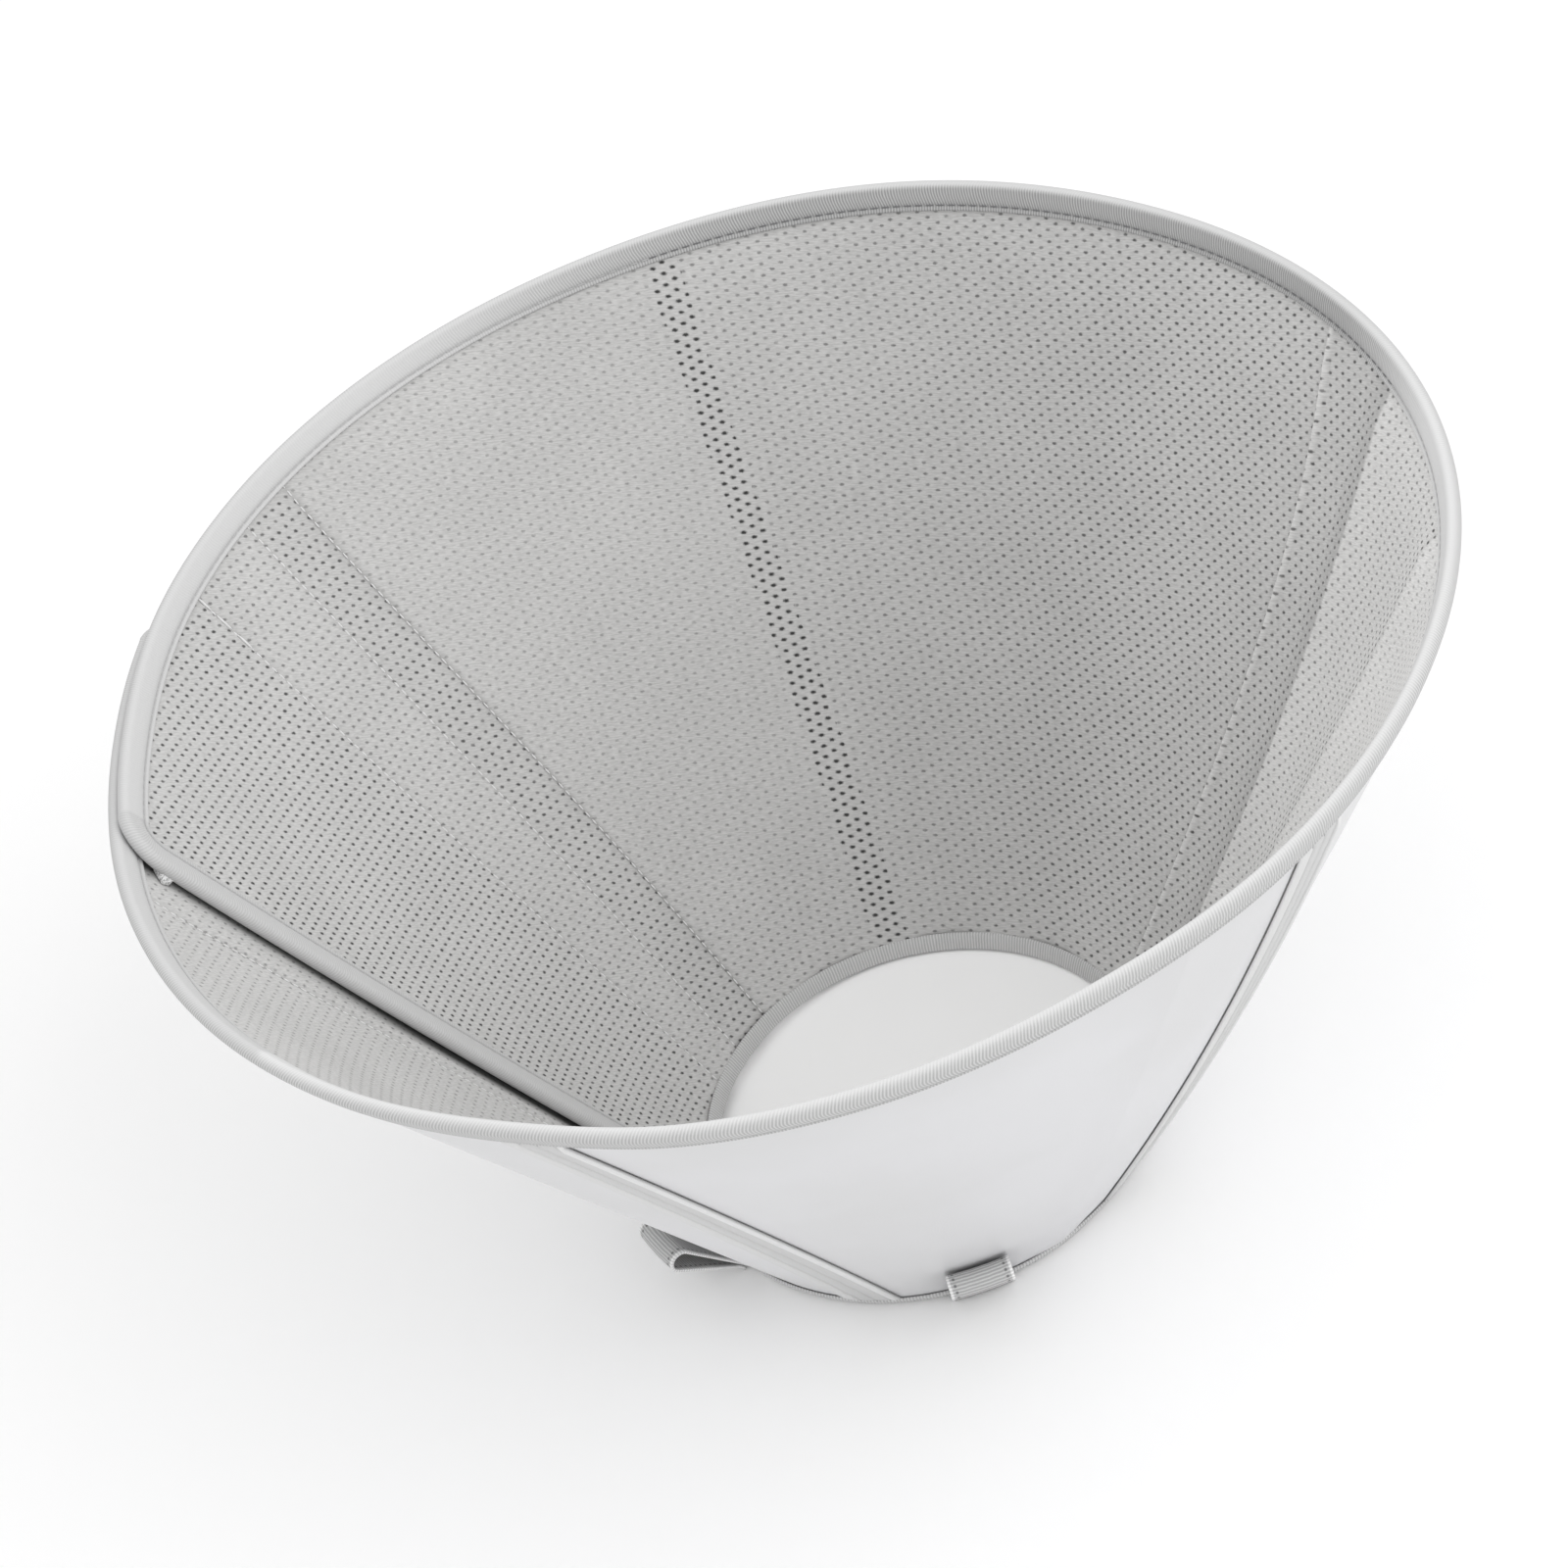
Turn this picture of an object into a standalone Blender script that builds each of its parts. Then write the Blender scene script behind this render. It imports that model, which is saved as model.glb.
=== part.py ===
"""Soft recovery cone: a padded cloth sheet wrapped into a cone that laps over itself at the side.

Lengths are metres and angles are degrees. +Z is up, the neck's edge rests on z = 0 and the mouth
faces up. A bearing is counted from +X, anticlockwise from above. A turn is counted along the wrap,
clockwise from above, from the inner end at 0 to the outer end at WRAP_ANGLE.
"""
import math

import bmesh
import bpy
from mathutils import Vector

# The cone
MOUTH_RADIUS = 0.216
NECK_RADIUS = 0.0815
CONE_HEIGHT = 0.239
NECK_SHIFT = -0.004

# The wrap and its lap
START_BEARING = 182.0
WRAP_ANGLE = 391.0
END_SKEW = 6.0
LAP_GAP = 0.0006
LAP_SLIP = 0.003
LAP_MARGIN = 5.0
LAP_FADE = 58.0
CORNER_RADIUS = 0.015

# Cloth walls, and the gap that pieces sewn to each other keep
COVER_WALL = 0.001
LINING_WALL = 0.001
TAPE_WALL = 0.001
CLEARANCE = 0.0003

# Bindings
RIM_TAPE_WIDTH = 0.0085
RIM_ROLL = 0.0017
NECK_TAPE_WIDTH = 0.005

# Seam tapes on the cover
SEAM_TAPE_WIDTH = 0.020
SEAM_TAPES = (
    # name, bearing at the mouth, bearing at the neck
    ("seam_tape_front", 237.1, 243.5),
    ("seam_tape_side", 307.5, 311.0),
    ("seam_tape_rear", 135.4, 132.0),
)

# Hook-and-loop closure between the two ends
CLOSURE_WIDTH = 0.025
CLOSURE_FROM_NECK = 0.020
CLOSURE_FROM_MOUTH = 0.016

# Collar loops on the neck binding
LOOP_WIDTH = 0.022
LOOP_LENGTH = 0.034
LOOP_NOSE_RADIUS = 0.0042
LOOP_FOOT = 0.0026
LOOP_TAIL = 0.0022
COLLAR_LOOPS = (
    # name, bearing, lean away from the wall
    ("collar_loop_1", 201.0, 14.5),
    ("collar_loop_2", 268.7, 5.0),
    ("collar_loop_3", 132.0, 14.5),
    ("collar_loop_4", 64.3, 5.0),
)

# How the wall strays from a true cone. mouth and neck are shares of their radius, and belly is a
# share of the slant by which the wall swells at half height.
FORM = (
    # bearing, mouth, neck, belly
    (0.0, 0.0020, 0.000, 0.006),
    (38.0, -0.0075, 0.000, 0.000),
    (68.0, 0.0050, 0.000, 0.000),
    (98.0, 0.0020, 0.000, 0.000),
    (130.0, 0.0090, 0.000, 0.000),
    (150.0, 0.0080, 0.000, 0.000),
    (168.0, 0.0000, 0.000, 0.000),
    (190.0, 0.0115, 0.000, 0.000),
    (206.0, 0.0155, 0.005, 0.000),
    (221.0, 0.0110, 0.010, 0.000),
    (237.0, -0.0025, 0.010, 0.000),
    (250.0, -0.0010, 0.005, 0.000),
    (266.0, -0.0120, 0.000, 0.003),
    (284.0, -0.0235, -0.005, 0.008),
    (303.0, -0.0150, -0.020, 0.014),
    (328.0, -0.0030, -0.010, 0.012),
    (346.0, 0.0025, 0.000, 0.009),
)

# Round outside of the edge tape, from the cover's side to the lining's side
ROLL_SECTION = (
    # share of RIM_ROLL past the sheet's edge, share of the half thickness
    (-0.3, 1.0),
    (0.6, 0.72),
    (1.0, 0.0),
    (0.6, -0.72),
    (-0.3, -1.0),
)

# Mesh density
COLUMN_STEP = 6.0
CORNER_STEPS = 5
WALL_ROWS = 6
LEG_STEPS = 6
STRIP_STEPS = 4
NOSE_STEPS = 8
SHARP_ANGLE = 35.0

# Sizes that follow from the ones above
PLY_STACK = COVER_WALL + CLEARANCE + LINING_WALL
TAPE_STACK = CLEARANCE + TAPE_WALL
LAP_STEP = PLY_STACK + 2 * TAPE_STACK + LAP_GAP
LAP_HOLD = WRAP_ANGLE - 360.0 + END_SKEW + LAP_MARGIN
WALL_SLOPE = math.atan2(MOUTH_RADIUS - NECK_RADIUS, CONE_HEIGHT)

# Linear colours and roughness of the cloths
COVER_FINISH = ((0.72, 0.73, 0.76), 0.45)
LINING_FINISH = ((0.58, 0.58, 0.57), 0.85)
BINDING_FINISH = ((0.63, 0.63, 0.62), 0.80)
RIBBON_FINISH = ((0.50, 0.50, 0.50), 0.80)
CLOSURE_FINISH = ((0.80, 0.80, 0.80), 0.90)


def clear_scene():
    for old in list(bpy.context.scene.objects):
        bpy.data.objects.remove(old, do_unlink=True)


def make_material(name, finish):
    colour, roughness = finish
    material = bpy.data.materials.new(name)
    material.use_nodes = True
    shader = material.node_tree.nodes["Principled BSDF"]
    shader.inputs["Base Color"].default_value = (*colour, 1.0)
    shader.inputs["Roughness"].default_value = roughness
    shader.inputs["Metallic"].default_value = 0.0
    return material


def smooth_step(share):
    share = min(max(share, 0.0), 1.0)
    return share * share * (3.0 - 2.0 * share)


def turn_of(bearing):
    """Turn of the outermost ply at a bearing outside the lap."""
    return (START_BEARING - bearing) % 360.0


def form_row(index):
    """Row of FORM by any index: past either end the table goes on round the cone."""
    rounds, place = divmod(index, len(FORM))
    bearing, *shares = FORM[place]
    return bearing + 360.0 * rounds, shares


def form_at(bearing):
    """Mouth, neck and belly shares at a bearing, on a smooth curve through the rows of FORM."""
    bearing %= 360.0
    index = max(i for i in range(len(FORM)) if FORM[i][0] <= bearing)
    (b0, s0), (b1, s1), (b2, s2), (b3, s3) = (form_row(index + k) for k in (-1, 0, 1, 2))
    width = b2 - b1
    t = (bearing - b1) / width
    shares = []
    for p0, p1, p2, p3 in zip(s0, s1, s2, s3):
        slope1 = (p2 - p0) / (b2 - b0) * width
        slope2 = (p3 - p1) / (b3 - b1) * width
        shares.append(
            (2 * t**3 - 3 * t**2 + 1) * p1 + (t**3 - 2 * t**2 + t) * slope1
            + (3 * t**2 - 2 * t**3) * p2 + (t**3 - t**2) * slope2
        )
    return shares


def swell(share):
    """0 at both ends of the slant and 1 half way up it."""
    return 4.0 * share * (1.0 - share)


def lap_share(turn):
    """1 on the inner end, which lies inside the outer one, and 0 on the rest of the wrap."""
    return 1.0 - smooth_step((turn - LAP_HOLD) / LAP_FADE)


def wall_frame(turn):
    """Foot of the cover's outer face, the way up it, the way out of it and its slant length."""
    angle = math.radians(START_BEARING - turn)
    mouth, neck, belly = form_at(START_BEARING - turn)
    ray = Vector((math.cos(angle), math.sin(angle), 0.0))
    foot = ray * NECK_RADIUS * (1.0 + neck) + Vector((NECK_SHIFT, 0.0, 0.0))
    brim = ray * MOUTH_RADIUS * (1.0 + mouth) + Vector((0.0, 0.0, CONE_HEIGHT))
    up = (brim - foot).normalized()
    across = Vector((-ray.y, ray.x, 0.0))
    outward = across.cross(up).normalized()
    return foot, up, outward, (brim - foot).length, belly


def wall_point(turn, along, out=0.0):
    """Point of the wall, along metres up from its neck edge and out metres outside its cover."""
    foot, up, outward, slant, belly = wall_frame(turn)
    lap = lap_share(turn)
    out += belly * slant * swell(along / slant) - LAP_STEP * lap
    return foot + up * (along + LAP_SLIP * lap) + outward * out


def level_point(turn, height, out):
    """Point of the wall at a height above its neck edge's lowest line, out metres outside."""
    foot, up, outward, _, _ = wall_frame(turn)
    along = (height - outward.z * out) / up.z
    lap = lap_share(turn)
    return foot + up * (along + LAP_SLIP * lap) + outward * (out - LAP_STEP * lap)


def slant_at(turn):
    return wall_frame(turn)[3]


def sheet_top(turn):
    """Slant length from the neck to the sheet's upper edge, under the rim's tape."""
    return slant_at(turn) - TAPE_STACK


def radius_at(turn, along):
    spot = wall_point(turn, along)
    return math.hypot(spot.x, spot.y)


def skewed(turn, along):
    """Turn of a line that starts at a turn on the mouth and follows the slope of the two ends."""
    lean = END_SKEW * (along / slant_at(turn) - 1.0)
    return turn + lean * (1.0 - 2.0 * turn / WRAP_ANGLE)


def corner_columns():
    """Turns near the inner end, close together where the mouth's corner is rounded."""
    swings = [math.pi / 2 * i / CORNER_STEPS for i in range(CORNER_STEPS)]
    return [math.degrees(CORNER_RADIUS * (1.0 - math.cos(swing)) / MOUTH_RADIUS) for swing in swings]


def column_turns():
    """Turns of the mesh's columns, from the inner end to the outer end."""
    near = corner_columns()
    far = [WRAP_ANGLE - turn for turn in reversed(near)]
    last_corner = math.degrees(CORNER_RADIUS / MOUTH_RADIUS)
    count = round((WRAP_ANGLE - 2 * last_corner) / COLUMN_STEP)
    step = (WRAP_ANGLE - 2 * last_corner) / count
    middle = [last_corner + step * i for i in range(count + 1)]
    return near + middle + far


def corner_drop(turn):
    """How far the rounded corners take the sheet's upper edge down at a turn on the mouth."""
    reach = math.radians(min(turn, WRAP_ANGLE - turn)) * MOUTH_RADIUS
    if reach >= CORNER_RADIUS:
        return 0.0
    return CORNER_RADIUS - math.sqrt(CORNER_RADIUS**2 - (CORNER_RADIUS - reach)**2)


def mapped_grid(name, columns, rows, place, seam=False):
    """Mesh of a grid whose point (column, row) lies at place(column, row).

    With seam, the first and last rows are one, which makes a tube, and its two ends are filled.
    """
    grid = bmesh.new()
    bmesh.ops.create_grid(grid, x_segments=columns - 1, y_segments=rows - 1, size=1.0)
    for vertex in grid.verts:
        column = round((vertex.co.x + 1.0) / 2.0 * (columns - 1))
        row = round((vertex.co.y + 1.0) / 2.0 * (rows - 1))
        vertex.co = place(column, row)
    if seam:
        bmesh.ops.remove_doubles(grid, verts=grid.verts, dist=1e-6)
        rims = [edge for edge in grid.edges if edge.is_boundary]
        bmesh.ops.holes_fill(grid, edges=rims, sides=0)
    bmesh.ops.recalc_face_normals(grid, faces=grid.faces)
    mesh = bpy.data.meshes.new(name)
    grid.to_mesh(mesh)
    grid.free()
    return mesh


def add_piece(name, mesh, material, wall=0.0):
    """Object of one piece. A wall turns an open sheet into cloth with its sheet in the middle."""
    piece = bpy.data.objects.new(name, mesh)
    parts.objects.link(piece)
    mesh.materials.append(material)
    mesh.shade_smooth()
    mesh.set_sharp_from_angle(angle=math.radians(SHARP_ANGLE))
    if wall:
        solid = piece.modifiers.new("cloth_wall", "SOLIDIFY")
        solid.thickness = wall
        solid.offset = 0.0
    return piece


def make_sheet(name, material, wall, middle):
    """One ply of the wall: its middle surface lies at middle metres from the cover's outer face."""
    turns = column_turns()
    bottom = TAPE_STACK / math.cos(WALL_SLOPE)

    def place(column, row):
        turn = turns[column]
        top = sheet_top(turn) - corner_drop(turn)
        along = bottom + (top - bottom) * row / WALL_ROWS
        return wall_point(skewed(turn, along), along, middle)

    mesh = mapped_grid(name, len(turns), WALL_ROWS + 1, place)
    return add_piece(name, mesh, material, wall)


def leg_stations(side):
    """Stations of the edge tape up one end: (side, reach, drop, inward across, inward down).

    reach is the distance from the end, across the wall, and drop the distance below its edge.
    """
    foot = sheet_top(side) - NECK_TAPE_WIDTH - CLEARANCE
    stations = []
    for i in range(LEG_STEPS):
        drop = foot + (CORNER_RADIUS - foot) * i / LEG_STEPS
        stations.append((side, 0.0, drop, 1.0, 0.0))
    for i in range(CORNER_STEPS):
        swing = math.pi / 2 * i / CORNER_STEPS
        across, down = math.cos(swing), math.sin(swing)
        reach, drop = CORNER_RADIUS * (1.0 - across), CORNER_RADIUS * (1.0 - down)
        stations.append((side, reach, drop, across, down))
    return stations


def edge_route():
    """Stations of the edge tape. Along the mouth a station is its turn alone."""
    mouth = [(turn,) for turn in column_turns()[CORNER_STEPS:-CORNER_STEPS]]
    return leg_stations(0.0) + mouth + leg_stations(WRAP_ANGLE)[::-1]


def edge_point(station, inward, out):
    """Point inward metres into the sheet from its edge at a station, out metres outside it."""
    if len(station) == 1:
        turn = station[0]
        along = sheet_top(turn) - inward
    else:
        side, reach, drop, across, down = station
        along = sheet_top(side) - drop - down * inward
        turn_away = math.degrees((reach + across * inward) / radius_at(side, along))
        turn = side + turn_away if side == 0.0 else side - turn_away
    return wall_point(skewed(turn, along), along, out)


def make_edge_binding():
    """Tape folded over the free edges, round on its outside like a roll."""
    outer, inner = TAPE_STACK, -PLY_STACK - TAPE_STACK
    middle, half = (outer + inner) / 2, (outer - inner) / 2
    roll = [(-bulge * RIM_ROLL, middle + side * half) for bulge, side in ROLL_SECTION]
    section = [
        # inward, out
        (RIM_TAPE_WIDTH, outer),
        *roll,
        (RIM_TAPE_WIDTH, inner),
        (RIM_TAPE_WIDTH, inner + TAPE_WALL),
        (-CLEARANCE, inner + TAPE_WALL),
        (-CLEARANCE, outer - TAPE_WALL),
        (RIM_TAPE_WIDTH, outer - TAPE_WALL),
    ]
    route = edge_route()

    def place(column, row):
        inward, out = section[row % len(section)]
        return edge_point(route[column], inward, out)

    mesh = mapped_grid("edge_binding", len(route), len(section) + 1, place, seam=True)
    return add_piece("edge_binding", mesh, binding_cloth)


def make_neck_binding():
    """Tape folded over the neck's edge, flat underneath where it rests."""
    outer, inner = TAPE_STACK, -PLY_STACK - TAPE_STACK
    turns = column_turns()
    section = (
        # is this point on the level floor of the fold, its height or its place up the wall, out
        (True, 0.0, outer),
        (False, NECK_TAPE_WIDTH, outer),
        (False, NECK_TAPE_WIDTH, outer - TAPE_WALL),
        (True, TAPE_WALL, outer - TAPE_WALL),
        (True, TAPE_WALL, inner + TAPE_WALL),
        (False, NECK_TAPE_WIDTH, inner + TAPE_WALL),
        (False, NECK_TAPE_WIDTH, inner),
        (True, 0.0, inner),
    )

    def place(column, row):
        level, rise, out = section[row % len(section)]
        if level:
            return level_point(skewed(turns[column], rise), rise, out)
        return wall_point(skewed(turns[column], rise), rise, out)

    mesh = mapped_grid("neck_binding", len(turns), len(section) + 1, place, seam=True)
    return add_piece("neck_binding", mesh, binding_cloth)


def make_strip(name, material, width, foot, head, middle, wall, centre_turn):
    """Strip of cloth up the wall, from foot metres above the neck to head metres below the top."""

    def place(column, row):
        share = row / WALL_ROWS
        centre = centre_turn(share)
        centre_along = foot + (sheet_top(centre) - head - foot) * share
        side = width * (column / STRIP_STEPS - 0.5)
        turn = centre + math.degrees(side / radius_at(centre, centre_along))
        along = foot + (sheet_top(turn) - head - foot) * share
        return wall_point(turn, along, middle)

    mesh = mapped_grid(name, STRIP_STEPS + 1, WALL_ROWS + 1, place)
    return add_piece(name, mesh, material, wall)


def make_seam_tape(name, mouth_bearing, neck_bearing):
    """Tape over a fold line, from its bearing at the mouth to its bearing at the neck."""

    def centre_turn(share):
        return turn_of(neck_bearing + (mouth_bearing - neck_bearing) * share)

    foot = NECK_TAPE_WIDTH + CLEARANCE
    head = RIM_TAPE_WIDTH + CLEARANCE
    middle = CLEARANCE + TAPE_WALL / 2
    width = SEAM_TAPE_WIDTH
    return make_strip(name, binding_cloth, width, foot, head, middle, TAPE_WALL, centre_turn)


def make_closure():
    """Hook and loop, pressed together between the inner end's cover and the outer end's lining."""
    wall = LAP_STEP - PLY_STACK - 2 * CLEARANCE - LAP_GAP / 2

    def centre_turn(share):
        along = share * slant_at(0.0)
        inset = RIM_TAPE_WIDTH + CLEARANCE + CLOSURE_WIDTH / 2
        return skewed(math.degrees(inset / radius_at(0.0, along)), along)

    foot, head = CLOSURE_FROM_NECK, CLOSURE_FROM_MOUTH
    middle = CLEARANCE + wall / 2
    width = CLOSURE_WIDTH
    return make_strip("closure_strip", closure_cloth, width, foot, head, middle, wall, centre_turn)


def loop_route(lean_angle):
    """Middle line of a loop's ribbon, as (up the wall, out from the neck binding's face)."""
    half = TAPE_WALL / 2
    under = CLEARANCE + half
    over = under + TAPE_WALL + CLEARANCE
    lean = math.radians(lean_angle)
    radius = LOOP_NOSE_RADIUS - half
    reach = LOOP_LENGTH - LOOP_NOSE_RADIUS
    nose_up = LOOP_FOOT + reach * math.cos(lean)
    nose_out = (under + over) / 2 + reach * math.sin(lean)
    route = [(LOOP_FOOT, under), (LOOP_FOOT + LOOP_TAIL, under)]
    for i in range(NOSE_STEPS + 1):
        swing = lean - math.pi / 2 + math.pi * i / NOSE_STEPS
        route.append((nose_up + radius * math.cos(swing), nose_out + radius * math.sin(swing)))
    route += [(LOOP_FOOT + LOOP_TAIL, over), (LOOP_FOOT, over)]
    return route


def make_loop(name, bearing, lean_angle):
    """Ribbon folded into a loop, with both tails sewn to the outside of the neck binding."""
    route = loop_route(lean_angle)
    turn = turn_of(bearing)

    def place(column, row):
        up_wall, out = route[column]
        side = LOOP_WIDTH * (row / STRIP_STEPS - 0.5)
        spot = wall_point(turn, up_wall, TAPE_STACK + out)
        aside = turn + math.degrees(side / math.hypot(spot.x, spot.y))
        return wall_point(aside, up_wall, TAPE_STACK + out)

    mesh = mapped_grid(name, len(route), STRIP_STEPS + 1, place)
    return add_piece(name, mesh, ribbon_cloth, TAPE_WALL)


clear_scene()
parts = bpy.data.collections.new("soft_recovery_cone")
bpy.context.scene.collection.children.link(parts)

cover_cloth = make_material("cover_cloth", COVER_FINISH)
lining_cloth = make_material("lining_cloth", LINING_FINISH)
binding_cloth = make_material("binding_cloth", BINDING_FINISH)
ribbon_cloth = make_material("ribbon_cloth", RIBBON_FINISH)
closure_cloth = make_material("closure_cloth", CLOSURE_FINISH)

make_sheet("outer_cover", cover_cloth, COVER_WALL, -COVER_WALL / 2)
make_sheet("mesh_lining", lining_cloth, LINING_WALL, LINING_WALL / 2 - PLY_STACK)
make_edge_binding()
make_neck_binding()
make_closure()
for seam_tape in SEAM_TAPES:
    make_seam_tape(*seam_tape)
for collar_loop in COLLAR_LOOPS:
    make_loop(*collar_loop)
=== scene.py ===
# %% [markdown]
# # Soft recovery cone
#
# This is a soft cloth cone, worn at the neck while a wound heals. It is one padded sheet, cut as half
# of a ring, wrapped round until its two ends lap, and pressed together with hook and loop. Inside
# is a pored mesh, outside a smooth coated cloth, and every edge is folded into a ribbed tape.
#
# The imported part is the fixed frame: its solids say where each piece is. Each cell below makes
# one piece or one finish on top of it, in metres, with +Z up and the neck's edge on z = 0.

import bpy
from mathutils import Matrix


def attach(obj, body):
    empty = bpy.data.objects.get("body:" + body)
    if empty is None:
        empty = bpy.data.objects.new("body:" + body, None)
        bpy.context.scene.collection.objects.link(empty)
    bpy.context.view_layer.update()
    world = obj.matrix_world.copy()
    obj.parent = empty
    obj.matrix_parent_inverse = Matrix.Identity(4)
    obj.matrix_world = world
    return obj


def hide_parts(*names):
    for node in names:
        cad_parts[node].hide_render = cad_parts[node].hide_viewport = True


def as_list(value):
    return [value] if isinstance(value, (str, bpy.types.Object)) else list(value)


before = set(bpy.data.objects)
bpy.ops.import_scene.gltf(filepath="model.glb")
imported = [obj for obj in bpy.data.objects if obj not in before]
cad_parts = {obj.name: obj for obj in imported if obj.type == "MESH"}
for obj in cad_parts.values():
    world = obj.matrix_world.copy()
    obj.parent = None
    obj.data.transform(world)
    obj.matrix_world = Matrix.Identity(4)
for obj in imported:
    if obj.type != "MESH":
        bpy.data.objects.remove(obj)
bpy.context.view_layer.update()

import math

import bmesh
import bpy
from mathutils import Matrix, Vector

# %% [markdown]
# ## The wall of the cone
#
# A real cone of this kind is never a true cone: the cloth bellies, the mouth is a little out of
# round, and one end lies inside the other. Two ways to get such a wall are a cloth simulation and
# a rule. A rule is chosen here, because every tape, stitch and fold has to lie on the same wall,
# and a rule can be asked for any point of it. `turn` runs along the wrap in degrees, from the inner
# end at 0 to the outer end at WRAP, and `along` runs up the slant in metres.

# %% Sizes of the cone
MOUTH_RADIUS = 0.216
NECK_RADIUS = 0.0815
HEIGHT = 0.239
NECK_SHIFT = -0.004
START_BEARING = 182.0
WRAP = 391.0
END_SKEW = 6.0
CORNER_RADIUS = 0.015

PLY_STACK = 0.0023     # cover, padding and lining together
TAPE_STACK = 0.0013    # a tape and the gap under it
LAP_STEP = 0.0055      # the inner end lies this far inside the outer one
LAP_SLIP = 0.001
LAP_HOLD = 42.0
LAP_FADE = 58.0

SLOPE = math.atan2(MOUTH_RADIUS - NECK_RADIUS, HEIGHT)

# How the wall strays from a true cone: bearing, mouth share, neck share, belly share
FORM = [
    (0, 0.0020, 0.000, 0.006), (38, -0.0075, 0.000, 0.000), (68, 0.0050, 0.000, 0.000),
    (98, 0.0020, 0.000, 0.000), (130, 0.0090, 0.000, 0.000), (150, 0.0080, 0.000, 0.000),
    (168, 0.0000, 0.000, 0.000), (190, 0.0115, 0.000, 0.000), (206, 0.0155, 0.005, 0.000),
    (221, 0.0110, 0.010, 0.000), (237, -0.0025, 0.010, 0.000), (250, -0.0010, 0.005, 0.000),
    (266, -0.0120, 0.000, 0.003), (284, -0.0235, -0.005, 0.008), (303, -0.0150, -0.020, 0.014),
    (328, -0.0030, -0.010, 0.012), (346, 0.0025, 0.000, 0.009),
]


# %% A point of the wall
def smooth_step(share):
    share = min(max(share, 0.0), 1.0)
    return share * share * (3.0 - 2.0 * share)


def form_row(index):
    rounds, place = divmod(index, len(FORM))
    bearing, *shares = FORM[place]
    return bearing + 360.0 * rounds, shares


def form_at(bearing):
    """Mouth, neck and belly shares at a bearing, on a smooth curve through FORM."""
    bearing %= 360.0
    index = max(i for i in range(len(FORM)) if FORM[i][0] <= bearing)
    (b0, s0), (b1, s1), (b2, s2), (b3, s3) = (form_row(index + k) for k in (-1, 0, 1, 2))
    t = (bearing - b1) / (b2 - b1)
    shares = []
    for p0, p1, p2, p3 in zip(s0, s1, s2, s3):
        slope1 = (p2 - p0) / (b2 - b0) * (b2 - b1)
        slope2 = (p3 - p1) / (b3 - b1) * (b2 - b1)
        shares.append(
            (2 * t**3 - 3 * t**2 + 1) * p1 + (t**3 - 2 * t**2 + t) * slope1
            + (3 * t**2 - 2 * t**3) * p2 + (t**3 - t**2) * slope2
        )
    return shares


frames_seen = {}


def wall_frame(turn):
    """Foot, way up, way out, slant length, belly and lap share at a turn."""
    key = round(turn, 4)
    if key not in frames_seen:
        angle = math.radians(START_BEARING - turn)
        mouth, neck, belly = form_at(START_BEARING - turn)
        ray = Vector((math.cos(angle), math.sin(angle), 0.0))
        foot = ray * NECK_RADIUS * (1.0 + neck) + Vector((NECK_SHIFT, 0.0, 0.0))
        brim = ray * MOUTH_RADIUS * (1.0 + mouth) + Vector((0.0, 0.0, HEIGHT))
        up = (brim - foot).normalized()
        outward = Vector((-ray.y, ray.x, 0.0)).cross(up).normalized()
        lap = 1.0 - smooth_step((turn - LAP_HOLD) / LAP_FADE)
        frames_seen[key] = (foot, up, outward, (brim - foot).length, belly, lap)
    return frames_seen[key]


def wall_point(turn, along, out=0.0):
    """Point along metres up the slant and out metres outside the cover's face."""
    foot, up, outward, slant, belly, lap = wall_frame(turn)
    share = along / slant
    out += belly * slant * 4.0 * share * (1.0 - share) - LAP_STEP * lap
    return foot + up * (along + LAP_SLIP * lap) + outward * out


def level_point(turn, height, out):
    """Point of the wall at an exact height above the neck's edge."""
    foot, up, outward, _, _, lap = wall_frame(turn)
    along = (height - outward.z * out) / up.z
    return foot + up * (along + LAP_SLIP * lap) + outward * (out - LAP_STEP * lap)


def sheet_top(turn):
    return wall_frame(turn)[3] - TAPE_STACK


def radius_at(turn, along):
    spot = wall_point(turn, along)
    return math.hypot(spot.x, spot.y)


def skewed(turn, along):
    """Turn of a line that starts at a turn on the mouth and follows the slope of the ends."""
    lean = END_SKEW * (along / wall_frame(turn)[3] - 1.0)
    return turn + lean * (1.0 - 2.0 * turn / WRAP)


def turn_of(bearing):
    return (START_BEARING - bearing) % 360.0


print("slant length in front:", round(wall_frame(270.0)[3] * 1000), "mm")


# %% [markdown]
# ## Meshes from a grid
#
# Every cloth piece here is a grid of points laid on the wall: rows run up the slant, columns
# along the wrap. One helper makes them all. It also writes a UV map in real metres on the cloth,
# so that a weave keeps its size wherever the piece bends, and closes a tube and its two ends
# when the last row meets the first.

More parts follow.
